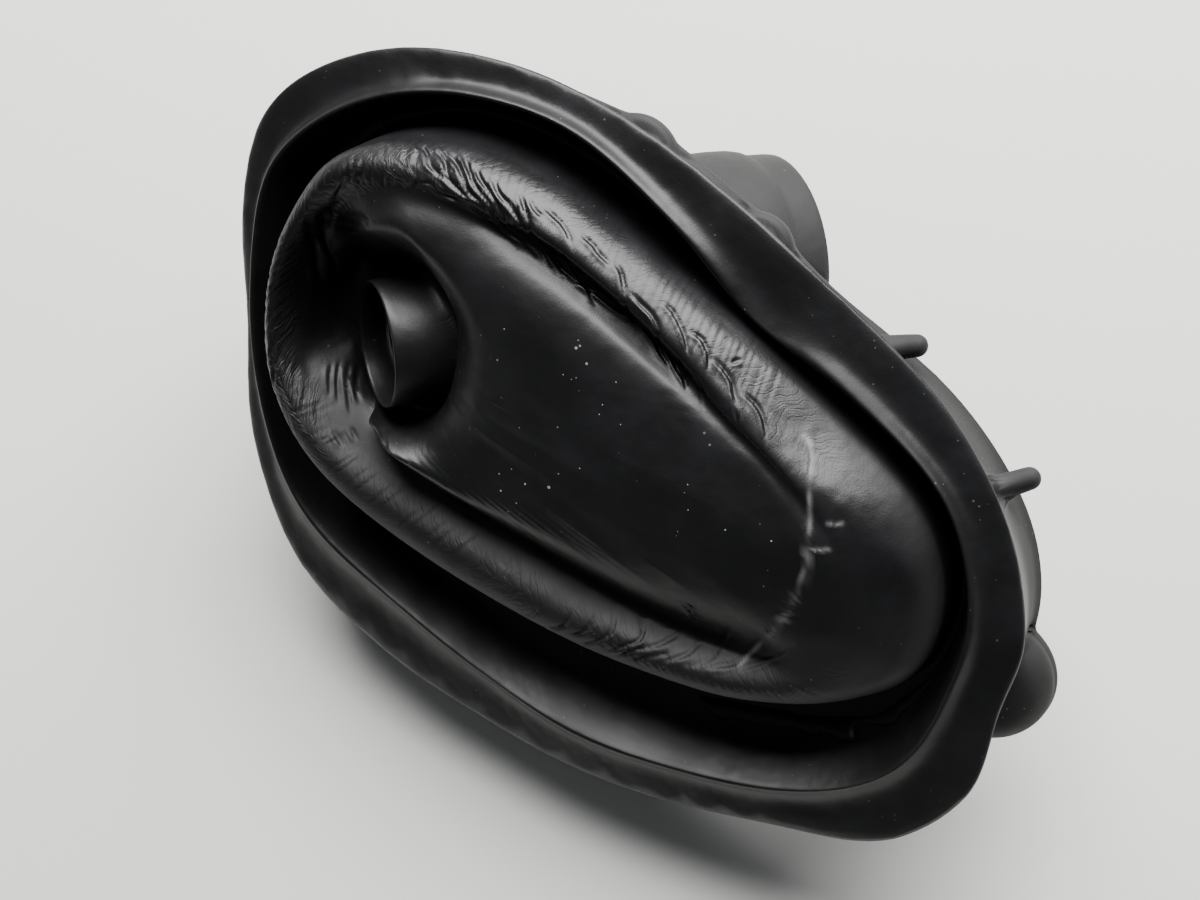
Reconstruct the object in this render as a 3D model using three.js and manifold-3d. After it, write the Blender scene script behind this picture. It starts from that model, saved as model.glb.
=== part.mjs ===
// Steering column cover: one moulded rubber boot that seals the hole where the shaft passes the bulkhead.
// Lengths are millimetres and angles are degrees.
// The cover's own frame: z = 0 is the plane of the sealing lip, z points out of the lip towards the cabin,
// x follows the shaft's run across the cover. The pose in which it lies on a table is set at the end.

import * as THREE from "three";
import { mergeVertices } from "three/addons/utils/BufferGeometryUtils.js";
import Module from "manifold-3d";

const wasm = await Module();
wasm.setup();

const { lerp, smoothstep, degToRad, euclideanModulo } = THREE.MathUtils;

// Main sizes: the lip's span along the shaft's run and across it.
const coverLength = 220;
const coverWidth = 214;

// Outlines seen along z, counter-clockwise from the far end, in percent of half the length and half the
// width. Each has the same stations, so that point 5 of one outline faces point 5 of the next, and the
// skin is lofted from outline to outline.
const lipOutline = [
  [91, -41], [86, -11.5], [71.5, 15.5], [48, 40.5], [14.5, 71], [-20.5, 92],
  [-57.5, 99], [-89.5, 89], [-103, 63], [-106, 29], [-108.5, -5.5], [-95.5, -42.5],
  [-60, -72], [-14, -93], [29, -99], [58, -100], [78.5, -84.5], [85.5, -61],
];
const ridgeOutline = [
  [79.5, -32], [73, -6], [51.5, 18], [31.5, 34.5], [12, 58], [-11.5, 79],
  [-41.5, 88], [-69, 85], [-90.5, 71], [-99.5, 44], [-101.5, 13.5], [-93.5, -18.5],
  [-66.5, -45.5], [-24.5, -74.5], [12.5, -84.5], [43, -85], [63.5, -75.5], [75, -54],
];
const browOutline = [
  [73.5, -30], [67, -7.5], [48.5, 13.5], [27.5, 33.5], [5.5, 53], [-18, 70.5],
  [-41.5, 79], [-65, 75.5], [-81, 60.5], [-90, 41.5], [-92, 17], [-80.5, -7],
  [-51.5, -28.5], [-16.5, -46.5], [12, -55.5], [32.5, -59], [50, -59], [67, -51],
];
const grooveOutline = [
  [55.5, -27], [47.5, -8.5], [33.5, 8.5], [16.5, 25], [0, 41], [-19, 56],
  [-40, 66.5], [-60, 66.5], [-75.5, 55], [-84, 38.5], [-83.5, 19.5], [-71, 3.5],
  [-47.5, -11], [-18, -28], [9, -41], [31, -46.5], [43.5, -45], [52, -37.5],
];
const shoulderOutline = [
  [45.5, -18.5], [38, -3], [25.5, 11], [11, 24.5], [-3.5, 36.5], [-20, 48.5],
  [-39, 60], [-57.5, 61.5], [-72, 52.5], [-81, 37.5], [-79.5, 21.5], [-67.5, 7.5],
  [-47.5, -5.5], [-20, -19.5], [5.5, -31], [23.5, -35.5], [36.5, -34.5], [43.5, -28],
];
const flangeOutline = [
  [92.5, -38.5], [87.5, -15], [71, 11], [43.5, 35.5], [12, 66.5], [-22, 87],
  [-56.5, 95.5], [-86, 87], [-102, 63], [-106.5, 29], [-107.5, -5.5], [-94.5, -40],
  [-60, -70], [-16.5, -89.5], [27.5, -95.5], [56.5, -94.5], [76.5, -78.5], [88, -58],
];
const stations = lipOutline.length;
const segments = 72;

// Heights over the lip's plane. Where there are three, they are for most of the way round, for the far end,
// which is a dome, and for the pit's side, which is low.
const lipDroop = 1.2;
const ridgeHeight = 5;
const troughDepth = 11;
const browHeights = [15, 6, 14];
const crestHeights = [18, 13, 16.5];
const crestInnerHeights = [17.2, 16.1, 15];
const grooveHeights = [10.5, 19, 8.5];
const shoulderHeights = [20.5, 22, 2.5];
const plateauHeight = 24;
const pitEdgeHeights = [21.5, -4];
const pitFloorHeights = [10.5, -8];

// Rises and drops of the groove: its rise at the top, its drop in the hollow beside the pit, and how far its
// outer wall's foot stands over its floor, plain and in the dome.
const grooveRise = 4;
const hollowDrop = 6;
const grooveFootRise = [1.6, -0.7];

// Roundings: of the ridge, of the trough's outer and inner corners, and of the plateau's rim.
const ridgeRound = 1;
const troughRound = 3;
const rootRound = 1.5;
const plateauRound = 1.6;

// Rows between the outlines, each by its share of the way and its height.
const lipRows = [
  { share: 0.4, height: 0.5 },
  { share: 0.75, height: 0.8 },
];
const troughWallRow = { share: 0.55, height: -2 };
const flankRows = [
  { share: 0.3, heights: [-4, -5.5, -4] },
  { share: 0.6, heights: [4, -1.5, 4] },
  { share: 0.85, heights: [10.5, 2.5, 10] },
];

// Stretches of the way round by station: from, to, and the blends before and after.
const domeStretch = [-1.3, 1.2, 2.4, 2.4];
const pitStretch = [7.9, 11, 0.95, 1.1];
const hollowStretch = [8, 9.6, 0.6, 0.6];
const topStretch = [5.8, 7.2, 1.6, 1];
const solidStretch = [6.6, 12.2, 1.2, 1.2];
const undercutStretch = [8.3, 9.6, 0.6, 0.6];

// Walls.
const lipEdgeThickness = 1.6;
const membraneWall = 1.6;
const skirtWall = 2.6;
const rearWall = 2.6;

// Body behind the lip.
const bodyDepth = 30;
const flangeWidth = 2.2;
const flangeThickness = 2.2;
const flankDraft = 2.2;
const pocketDepth = 6;
const pocketBehindTrough = 2.4;
const pocketRoom = [3, 9];
const skirtTop = -6;
const skirtCorner = 1.5;

// Shaft line: it crosses the lip's plane at a tilt, beside the middle.
const shaftTilt = 45;
const shaftY = 0.1355 * coverWidth;

// Neck, a short cone round the shaft, standing in a deep pit.
const neckX = -0.3136 * coverLength;
const neckHeight = 10;
const neckBore = 32.4;
const neckWall = 1.3;
const neckLength = 13.5;
const neckLean = 4.5;
const neckFlare = 2.2;
const neckSeat = 8.5;
const pitX = -0.2886 * coverLength;
const pitY = 0.1542 * coverWidth;
const pitRadius = 21.5;
const pitSpread = 1.25;
const pitTaper = 0.97;
const pitFacing = 9.7;

// Rear sleeve, a wide tube in line with the neck, with a spigot on its end and a boss at its root.
const sleeveRun = 124;
const sleeveSide = 9.5;
const sleeveBore = 57;
const sleeveWall = 2.3;
const sleeveStep = 2.2;
const sleeveChamfer = 0.5;
const sleeveShoulder = 1.5;
const spigotLength = 11;
const bossEnd = 32;
const bossStep = 1.5;
const bossGroove = 3;
const bossGrooveDepth = 1;

// Lugs, two short rods with round ends, each with the place and height of its tip and the way it points.
const lugDiameter = 6.4;
const lugLength = 16;
const lugSides = 14;
const lugs = [
  { tip: [66.5, 23], height: -22, way: [1, 0.05, -0.1] },
  { tip: [92.3, -7], height: -19, way: [0.93, 0.3, -0.2] },
];

// Ears, round lobes that stand out of the rear flange, and the taller one at the far end.
const earThickness = 5;
const earSides = 32;
const ears = [
  { middle: [-5.5, 67.5], radius: 13 },
  { middle: [24.5, 45], radius: 10.5 },
];
const endEar = { middle: [80, -62.5], radius: 18, height: 13, grooveAt: 4, grooveDepth: 1 };

// Rest: the stations of the rear flange's rim that touch the table, and the heading of the cover's long way,
// which becomes +X.
const restStations = [12, 12.25];
const restRounds = 4;
const longHeading = degToRad(-50);

const tilt = degToRad(shaftTilt);
const shaftUp = new THREE.Vector3(-Math.sin(tilt), 0, Math.cos(tilt));
const acrossHigh = new THREE.Vector3(Math.cos(tilt), 0, Math.sin(tilt));
const acrossSide = new THREE.Vector3(0, 1, 0);
const neckCentre = new THREE.Vector3(neckX, shaftY, neckHeight);
const sleeveCentre = neckCentre.clone()
  .addScaledVector(shaftUp, -sleeveRun)
  .addScaledVector(acrossSide, sleeveSide);

// A place given in percent of half the length and half the width.
function place([x, y], z = 0) {
  return new THREE.Vector3((x * coverLength) / 200, (y * coverWidth) / 200, z);
}

function stationOf(index) {
  return (index * stations) / segments;
}

function heightAt(height, index) {
  return typeof height === "function" ? height(stationOf(index)) : height;
}

// 1 from one station to another, fading to 0 over a blend outside each end.
function sector(station, [from, to, blendBefore, blendAfter]) {
  const middle = (from + to) / 2;
  const halfWidth = (to - from) / 2;
  const turn = euclideanModulo(station - middle + stations / 2, stations) - stations / 2;
  const blend = turn < 0 ? blendBefore : blendAfter;
  return 1 - smoothstep(Math.abs(turn), halfWidth, halfWidth + blend);
}

// An outline as a smooth closed ring of points at a height, moved out along its normals by grow.
function ring(outline, height, grow = 0) {
  const path = new THREE.CatmullRomCurve3(outline.map((point) => place(point)), true, "catmullrom");
  return Array.from({ length: segments }, (_, index) => {
    const point = path.getPoint(index / segments);
    const tangent = path.getTangent(index / segments);
    return new THREE.Vector3(point.x + tangent.y * grow, point.y - tangent.x * grow, heightAt(height, index));
  });
}

// A ring part way between two others, at its own height where one is given.
function between(first, second, share, height) {
  return first.map((point, index) => {
    const mixed = point.clone().lerp(second[index], share);
    if (height !== undefined) {
      mixed.z = heightAt(height, index);
    }
    return mixed;
  });
}

// The angle at which each point of a ring is seen from a middle.
function turnsFrom(points, x, y) {
  return points.map((point) => Math.atan2(point.y - y, point.x - x));
}

// A circle round a shaft line. The radius and the distance down the shaft may change with the angle.
function hoop(centre, turns, radius, back) {
  return turns.map((turn) => {
    const reach = typeof back === "function" ? back(turn) : back;
    const wide = typeof radius === "function" ? radius(turn) : radius;
    return centre.clone()
      .addScaledVector(shaftUp, -reach)
      .addScaledVector(acrossHigh, wide * Math.cos(turn))
      .addScaledVector(acrossSide, wide * Math.sin(turn));
  });
}

// The circle where a tube round the shaft meets the plane z = height.
function hoopAtHeight(centre, turns, radius, height) {
  return hoop(centre, turns, radius, (turn) => {
    const z = centre.z + radius * Math.cos(turn) * acrossHigh.z;
    return (z - height) / shaftUp.z;
  });
}

// Towards the far end the groove runs out and the membrane is one smooth dome.
// On the neck's side the plateau falls away and leaves the pit open to the crest. Its upper part is a
// deep hollow under the crest. At the top the groove is shallow.
const dome = (station) => sector(station, domeStretch);
const pitSide = (station) => sector(station, pitStretch);
const hollow = (station) => sector(station, hollowStretch);
const top = (station) => sector(station, topStretch);
const membrane = ([plain, domed, low]) => (station) => (
  lerp(lerp(plain, domed, dome(station)), low, pitSide(station))
);

const grooveFloor = (station) => (
  membrane(grooveHeights)(station)
    + grooveRise * top(station) * (1 - dome(station)) * (1 - pitSide(station))
    - 0.5 * hollowDrop * hollow(station)
);
const grooveFoot = (station) => grooveFloor(station) + lerp(...grooveFootRise, dome(station));
const shoulderTop = (station) => membrane(shoulderHeights)(station) - hollowDrop * hollow(station);
const grooveRimHeight = (station) => (
  lerp(grooveFloor(station), shoulderTop(station), 0.45 + 0.1 * dome(station))
);

const lip = ring(lipOutline, lipEdgeThickness / 2 - lipDroop);
const ridge = ring(ridgeOutline, ridgeHeight);
const root = ring(browOutline, rootRound - troughDepth, flankDraft);
const troughOuter = between(ridge, root, 0.4, troughRound - troughDepth);
const troughFloor = between(troughOuter, root, 0.5, -troughDepth);
const brow = ring(browOutline, membrane(browHeights));
const groove = ring(grooveOutline, grooveFloor);
const shoulder = ring(shoulderOutline, shoulderTop);
const flanks = flankRows.map(({ share, heights }) => between(root, brow, share, membrane(heights)));
const crest = between(brow, groove, 0.36, membrane(crestHeights));
const crestInner = between(brow, groove, 0.62, membrane(crestInnerHeights));
const grooveWall = between(brow, groove, 0.9, grooveFoot);
const grooveRim = between(groove, shoulder, 0.5, grooveRimHeight);

// The pit's points are spread half by the angle at which they face the shoulder and half evenly.
const pitTurns = turnsFrom(shoulder, pitX, pitY).map((turn, index) => {
  const even = Math.PI + ((stationOf(index) - pitFacing) * 2 * Math.PI) / stations;
  const apart = euclideanModulo(turn - even + Math.PI, 2 * Math.PI) - Math.PI;
  return even + apart / 2;
});
const pitRing = (share, height) => pitTurns.map((turn, index) => new THREE.Vector3(
  pitX + pitRadius * share * Math.cos(turn),
  pitY + pitRadius * pitSpread * share * Math.sin(turn),
  heightAt(height, index),
));
const pitEdge = pitRing(1, (station) => (
  lerp(...pitEdgeHeights, pitSide(station)) - 0.5 * hollowDrop * hollow(station) * pitSide(station)
));
const pitBottom = pitRing(pitTaper, 0).map((point, index) => (
  point.setZ(lerp(...pitFloorHeights, smoothstep(-Math.cos(pitTurns[index]), -1, 0.8)))
));
const pitWall = between(pitEdge, pitBottom, 0.5);
const plateau = (share, high) => between(shoulder, pitEdge, share).map((point, index) => (
  point.setZ(lerp(high, point.z, pitSide(stationOf(index))))
));
const plateauRim = plateau(0.12, plateauHeight - plateauRound);
const plateauOuter = plateau(0.45, plateauHeight);
const plateauInner = plateau(0.85, plateauHeight);

const neckRadius = neckBore / 2 + neckWall;
const rootBack = (turn) => neckLength + neckLean * Math.cos(turn);
const flare = (turn) => (neckFlare * (1.2 - Math.cos(turn))) / 2;
const neckHoop = (flareShare, lengthShare) => hoop(
  neckCentre,
  pitTurns,
  (turn) => neckRadius + flareShare * flare(turn),
  (turn) => lengthShare * rootBack(turn),
);

const front = [
  lip,
  ...lipRows.map(({ share, height }) => between(lip, ridge, share, height)),
  ring(ridgeOutline, ridgeHeight - ridgeRound, ridgeRound),
  ridge,
  ring(ridgeOutline, ridgeHeight - ridgeRound, -ridgeRound),
  between(ridge, troughOuter, troughWallRow.share, troughWallRow.height),
  troughOuter,
  troughFloor,
  root,
  ...flanks,
  brow,
  crest,
  crestInner,
  grooveWall,
  groove,
  grooveRim,
  shoulder,
  plateauRim,
  plateauOuter,
  plateauInner,
  pitEdge,
  pitWall,
  pitBottom,
  neckHoop(1, 1),
  neckHoop(0.3, 0.7),
  neckHoop(0, 0.3),
  neckHoop(0, 0),
];

// A ring of the front moved one wall into the material, along the normals of the skin round it.
function behind(here) {
  const row = front.indexOf(here);
  return here.map((point, index) => {
    const along = here[(index + 1) % segments].clone().sub(here[(index + segments - 1) % segments]);
    const inward = front[row + 1][index].clone().sub(front[row - 1][index]);
    return point.clone().addScaledVector(along.cross(inward).normalize(), -membraneWall);
  });
}

// Back skin of the membrane, from the neck out to the trough. The narrow rim beside the pit is solid,
// except under the hollow.
const solidRim = (station) => sector(station, solidStretch) * (1 - sector(station, undercutStretch));
const pitBack = behind(pitBottom);
const grooveBack = behind(groove);
const rimBack = (here, share) => behind(here).map((point, index) => (
  point.lerp(pitBack[index].clone().lerp(grooveBack[index], share), solidRim(stationOf(index)))
));
const back = [
  hoop(neckCentre, pitTurns, neckBore / 2, 0),
  hoop(neckCentre, pitTurns, neckBore / 2, neckSeat),
  neckHoop(0.6, 1).map((point) => point.addScaledVector(shaftUp, -membraneWall)),
  pitBack,
  rimBack(pitWall, 0.15),
  rimBack(pitEdge, 0.35),
  rimBack(plateauOuter, 0.6),
  rimBack(shoulder, 0.8),
  grooveBack,
  behind(grooveWall),
  behind(crest),
  behind(brow),
  ...flanks.map(behind).reverse(),
  behind(root),
  behind(troughFloor),
];

// Pocket behind the lip, open only where the trough's wall leaves room for it inside the skirt,
// then the skirt, the rear wall and the sleeve.
const skirtBack = -flangeWidth - skirtWall;
const pocketBottom = -troughDepth - pocketBehindTrough;
const skirtInner = ring(flangeOutline, pocketBottom - 1.1, skirtBack);
const floorBack = back.at(-1);
const wallBack = behind(troughOuter);
const pocketOpen = wallBack.map((point, index) => {
  const outward = skirtInner[index].clone().sub(floorBack[index]).setZ(0).normalize();
  return smoothstep(skirtInner[index].clone().sub(point).dot(outward), ...pocketRoom);
});
const pocketEdge = between(floorBack, skirtInner, 0.4, pocketBottom).map((point, index) => (
  point.lerp(wallBack[index], pocketOpen[index])
));
const pocket = (share) => between(pocketEdge, skirtInner, share).map((point, index) => (
  point.setZ(lerp(pocketBottom - 0.3, -pocketDepth, pocketOpen[index]))
));
const sleeveOuter = sleeveBore / 2 + sleeveWall;
const sleeveRadius = sleeveOuter + sleeveStep;
const sleeveRootX = sleeveCentre.x + (sleeveCentre.z + bodyDepth) * Math.tan(tilt);
const sleeveTurns = turnsFrom(ring(flangeOutline, 0), sleeveRootX, sleeveCentre.y);
const sleeveHoop = (radius, fromEnd) => hoop(sleeveCentre, sleeveTurns, radius, -fromEnd);
const flangeRim = ring(flangeOutline, -bodyDepth);

const shell = [
  ...front,
  ...back,
  pocketEdge,
  pocket(0.35),
  pocket(0.75),
  skirtInner,
  ring(flangeOutline, -bodyDepth + rearWall + skirtCorner, skirtBack),
  ring(flangeOutline, -bodyDepth + rearWall, skirtBack - skirtCorner),
  hoopAtHeight(sleeveCentre, sleeveTurns, sleeveRadius - sleeveWall, -bodyDepth + rearWall),
  sleeveHoop(sleeveRadius - sleeveWall, spigotLength + sleeveWall),
  sleeveHoop(sleeveBore / 2, spigotLength),
  sleeveHoop(sleeveBore / 2, 0),
  sleeveHoop(sleeveOuter - sleeveChamfer, 0),
  sleeveHoop(sleeveOuter, sleeveChamfer),
  sleeveHoop(sleeveOuter, spigotLength - sleeveChamfer),
  sleeveHoop(sleeveRadius - sleeveShoulder, spigotLength),
  sleeveHoop(sleeveRadius, spigotLength + sleeveShoulder),
  sleeveHoop(sleeveRadius, bossEnd - bossGroove),
  sleeveHoop(sleeveRadius - bossGrooveDepth, bossEnd - bossGroove / 2),
  sleeveHoop(sleeveRadius + bossStep, bossEnd),
  hoopAtHeight(sleeveCentre, sleeveTurns, sleeveRadius + bossStep, -bodyDepth),
  flangeRim,
  ring(flangeOutline, -bodyDepth + flangeThickness),
  ring(flangeOutline, -bodyDepth + flangeThickness + 0.4, -flangeWidth),
  ring(flangeOutline, skirtTop, -flangeWidth),
  between(lip, ring(flangeOutline, 0, -flangeWidth), 0.6, skirtTop / 2),
  ring(lipOutline, -lipEdgeThickness / 2 - lipDroop, -0.2),
];

// The rings joined side by side into one closed skin, as a solid. Each cell is cut along its shorter way.
function loft(rings) {
  const triangles = rings.flatMap((row, rowIndex) => {
    const next = (rowIndex + 1) % rings.length;
    return row.flatMap((point, column) => {
      const beside = (column + 1) % segments;
      const corners = [
        rowIndex * segments + column,
        rowIndex * segments + beside,
        next * segments + beside,
        next * segments + column,
      ];
      const straight = point.distanceTo(rings[next][beside]) <= row[beside].distanceTo(rings[next][column]);
      const order = straight ? [0, 1, 2, 0, 2, 3] : [0, 1, 3, 1, 2, 3];
      return order.map((corner) => corners[corner]);
    });
  });
  return new wasm.Manifold(new wasm.Mesh({
    numProp: 3,
    vertProperties: new Float32Array(rings.flat().flatMap((point) => point.toArray())),
    triVerts: new Uint32Array(triangles),
  }));
}

// A closed geometry as a solid.
function toSolid(geometry) {
  geometry.deleteAttribute("normal");
  geometry.deleteAttribute("uv");
  const merged = mergeVertices(geometry, 1e-4);
  return new wasm.Manifold(new wasm.Mesh({
    numProp: 3,
    vertProperties: new Float32Array(merged.attributes.position.array),
    triVerts: new Uint32Array(merged.index.array),
  }));
}

function toGeometry(solid) {
  const mesh = solid.getMesh();
  const geometry = new THREE.BufferGeometry();
  geometry.setAttribute("position", new THREE.BufferAttribute(new Float32Array(mesh.vertProperties), 3));
  geometry.setIndex(new THREE.BufferAttribute(new Uint32Array(mesh.triVerts), 1));
  return geometry;
}

// A turned solid from a profile of radius and height, its axis pointing a way from a place.
function turned(profile, sides, at, way) {
  const points = profile.map(([radius, height]) => new THREE.Vector2(radius, height));
  const geometry = new THREE.LatheGeometry(points, sides);
  const axis = new THREE.Vector3(...way).normalize();
  geometry.applyQuaternion(new THREE.Quaternion().setFromUnitVectors(new THREE.Vector3(0, 1, 0), axis));
  geometry.translate(at.x, at.y, at.z);
  return toSolid(geometry);
}

const lugRadius = lugDiameter / 2;
const lugProfile = [
  [0, -lugLength], [lugRadius, -lugLength], [lugRadius, -lugRadius], [lugRadius * 0.92, -lugRadius * 0.6],
  [lugRadius * 0.6, -lugRadius * 0.2], [0, 0],
];
const earProfile = (radius) => [
  [0, 0], [radius - 0.8, 0], [radius, 0.8], [radius, earThickness - 1.4],
  [radius - 1.4, earThickness], [0, earThickness],
];
const endEarProfile = [
  [0, 0], [endEar.radius - 1, 0], [endEar.radius, 1],
  [endEar.radius, endEar.grooveAt - endEar.grooveDepth],
  [endEar.radius - endEar.grooveDepth, endEar.grooveAt], [endEar.radius - 0.4, endEar.grooveAt + 1.5],
  [endEar.radius - 1.5, endEar.height * 0.6], [endEar.radius - 5, endEar.height * 0.92],
  [endEar.radius - 9, endEar.height], [0, endEar.height],
];

// The space inside the skirt, which nothing added to the outside may fill.
const coreShape = new THREE.Shape(skirtInner.map((point) => new THREE.Vector2(point.x, point.y)));
const coreGeometry = new THREE.ExtrudeGeometry(coreShape, { depth: bodyDepth, bevelEnabled: false });
coreGeometry.translate(0, 0, -bodyDepth + rearWall);
const core = toSolid(coreGeometry);

const outwards = [0, 0, 1];
const additions = [
  ...lugs.map(({ tip, height, way }) => turned(lugProfile, lugSides, place(tip, height), way)),
  ...ears.map(({ middle, radius }) => (
    turned(earProfile(radius), earSides, place(middle, -bodyDepth), outwards)
  )),
  turned(endEarProfile, earSides, place(endEar.middle, -bodyDepth), outwards),
];
const solid = additions.reduce((whole, added) => whole.add(added.subtract(core)), loft(shell));

const rubber = new THREE.MeshStandardMaterial({ color: 0x1c1c1d, roughness: 0.5, metalness: 0 });
const cover = new THREE.Mesh(toGeometry(solid), rubber);
cover.name = "column_cover";

// It lies on the rim of the rear flange and on the end of the sleeve. The way up is square to the plane
// through two neighbouring places of that rim and the lowest place of the sleeve's end.
const sleeveEnd = [...sleeveHoop(sleeveOuter - sleeveChamfer, 0), ...sleeveHoop(sleeveOuter, sleeveChamfer)];
const [firstContact, secondContact] = restStations.map((station) => (
  flangeRim[Math.round((station * segments) / stations) % segments]
));
let restUp = new THREE.Vector3(0, 0, 1);
for (let round = 0; round < restRounds; round += 1) {
  const tip = sleeveEnd.reduce((lowest, point) => (point.dot(restUp) < lowest.dot(restUp) ? point : lowest));
  restUp = secondContact.clone().sub(firstContact).cross(tip.clone().sub(firstContact)).normalize();
}

const longWay = new THREE.Vector3(Math.cos(longHeading), Math.sin(longHeading), 0);
const restY = restUp.clone().cross(longWay).normalize();
const restX = restY.clone().cross(restUp);
cover.geometry.applyMatrix4(new THREE.Matrix4().makeBasis(restX, restY, restUp).transpose());
const box = new THREE.Box3().setFromBufferAttribute(cover.geometry.attributes.position);
const middle = box.getCenter(new THREE.Vector3());
cover.geometry.translate(-middle.x, -middle.y, -box.min.z);

const object = new THREE.Group();
object.add(cover);

export default object;
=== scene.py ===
"""Looks of the steering column cover: one black moulded rubber boot lying on a pale table."""
import math

import bpy
import numpy as np
from mathutils import Matrix, Vector


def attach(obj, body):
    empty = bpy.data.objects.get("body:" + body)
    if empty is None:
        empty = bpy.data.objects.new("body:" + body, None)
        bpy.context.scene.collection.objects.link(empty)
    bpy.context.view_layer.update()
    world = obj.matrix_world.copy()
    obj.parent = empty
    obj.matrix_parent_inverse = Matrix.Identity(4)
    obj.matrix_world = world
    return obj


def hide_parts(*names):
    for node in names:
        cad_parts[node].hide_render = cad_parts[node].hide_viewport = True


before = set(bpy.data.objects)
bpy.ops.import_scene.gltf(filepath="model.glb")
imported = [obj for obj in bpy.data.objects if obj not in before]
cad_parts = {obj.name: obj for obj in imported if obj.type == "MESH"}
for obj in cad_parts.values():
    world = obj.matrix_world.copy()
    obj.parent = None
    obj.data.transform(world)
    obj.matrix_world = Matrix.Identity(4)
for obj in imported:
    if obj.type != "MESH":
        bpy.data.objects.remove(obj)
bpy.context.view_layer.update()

# The cover's own frame: its axes and its origin in the row frame (mm), as it lies on the table.
LIP_AXES = np.array((
    (0.69478, 0.67765, 0.24098),
    (-0.70284, 0.56861, 0.42742),
    (0.15262, -0.46634, 0.87134),
))
LIP_ORIGIN = np.array((6.067, 4.134, 74.059))

# The line along the top of the membrane's fold, seen along z, counter-clockwise from the far end (mm).
# A station is a place along it, counted in these points.
CREST = (
    (71.0, -30.5), (63.0, -8.6), (45.1, 11.8), (24.2, 31.3), (3.0, 50.3), (-20.4, 67.7),
    (-44.8, 77.8), (-68.8, 76.0), (-86.1, 61.8), (-95.7, 42.8), (-96.5, 19.5), (-83.3, -1.9),
    (-54.5, -21.1), (-19.0, -39.9), (11.6, -51.6), (34.9, -56.4), (51.4, -55.6), (65.5, -47.4),
)
CREST_STEPS = 24

# The pit round the neck: its middle seen along z (mm), and how many times as long as wide it is.
PIT = (-63.5, 33.0)
PIT_LENGTH = 1.25

# Where the groove runs out into the dome, the plateau's corner by the pit, and the neck's middle and axis
# (mm, and the reach of the groove's end and of the corner is below).
GROOVE_END = (57.0, -37.0, 16.0)
CORNER = (-71.0, 58.0, 12.0)
NECK_CENTRE = (-69.0, 29.0, 10.0)
NECK_AXIS = (-0.7071, 0.0, 0.7071)

# Section of the fold where it is broad: distance outside the crest line and height of the moulded form,
# and of the form in which it lies, which falls away outwards from the groove (mm).
MOULDED_SECTION = (
    (-7.0, 10.5), (-5.6, 12.0), (-1.5, 17.2), (2.3, 18.0), (7.5, 15.0),
    (7.9, 10.5), (8.5, 4.0), (9.1, -4.0), (9.7, -9.5),
)
LYING_SECTION = (
    (-7.0, 11.0), (-6.2, 16.0), (-4.6, 18.4), (-1.2, 16.2), (3.4, 10.6),
    (5.2, 7.0), (7.0, 1.8), (8.5, -4.5), (9.7, -9.5),
)

# Where the fold lies over: first and last station, and the stations over which it fades. Then how far it
# goes over, and the distance from the moulded section within which the skin follows it (mm).
LYING_STRETCH = (1.9, 5.9, 1.5)
LYING_SHARE = 0.88
LYING_REACH = (3.5, 6.0)

# Folds of the rubber that the photograph shows one by one, each a path seen along z (mm).
BOLD_FOLDS = (
    ((-50.1, 83.6), (-46.4, 81.9), (-43.8, 78.6), (-38.5, 74.8), (-35.4, 71.3)),
    ((-44.3, 82.2), (-40.7, 79.7), (-38.3, 75.6), (-34.3, 71.7), (-30.9, 70.0)),
    ((-41.5, 81.7), (-37.1, 78.8), (-34.5, 75.5), (-32.8, 72.2), (-27.9, 68.3)),
    ((-37.2, 81.5), (-33.5, 77.1), (-30.7, 73.0), (-27.1, 69.2), (-24.4, 65.3)),
    ((-33.3, 78.6), (-29.5, 74.2), (-26.0, 70.0), (-23.4, 65.3), (-22.5, 62.6)),
    ((-27.5, 75.3), (-24.8, 71.2), (-21.6, 67.9), (-18.8, 63.6), (-18.5, 59.9)),
    ((-26.6, 69.2), (-25.4, 63.4), (-22.5, 60.7), (-18.7, 57.7)),
    ((-20.1, 71.1), (-18.3, 67.9), (-16.7, 63.7), (-16.2, 59.1)),
    ((-17.8, 67.9), (-17.7, 63.7), (-16.2, 58.2), (-13.4, 53.8)),
    ((-24.2, 63.5), (-20.3, 60.8), (-16.8, 57.2), (-13.6, 53.5)),
    ((-15.6, 59.2), (-13.1, 55.5), (-10.9, 52.1), (-9.1, 50.1)),
    ((-14.1, 56.9), (-11.1, 52.8), (-7.6, 49.5), (-4.7, 47.0)),
    ((-8.5, 57.0), (-7.9, 54.2), (-6.6, 50.4), (-3.7, 46.9), (-1.1, 42.3)),
    ((-7.3, 49.5), (-4.5, 47.7), (-0.9, 45.3), (4.4, 41.2), (8.1, 39.0)),
    ((-5.2, 50.6), (-0.2, 46.4), (6.5, 40.6), (12.0, 36.8), (14.8, 32.4)),
    ((4.1, 53.7), (6.3, 50.6), (7.6, 45.6), (7.3, 39.8), (8.9, 38.1)),
    ((8.7, 46.5), (11.9, 43.2), (14.3, 40.8), (15.7, 37.5), (14.8, 32.4)),
    ((9.6, 38.3), (13.1, 34.0), (15.3, 30.5), (17.8, 27.7)),
    ((15.0, 32.9), (17.4, 30.0), (19.7, 26.6), (22.2, 22.9)),
    ((20.4, 30.6), (20.8, 26.8), (21.7, 23.3), (22.3, 22.6)),
)
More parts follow.
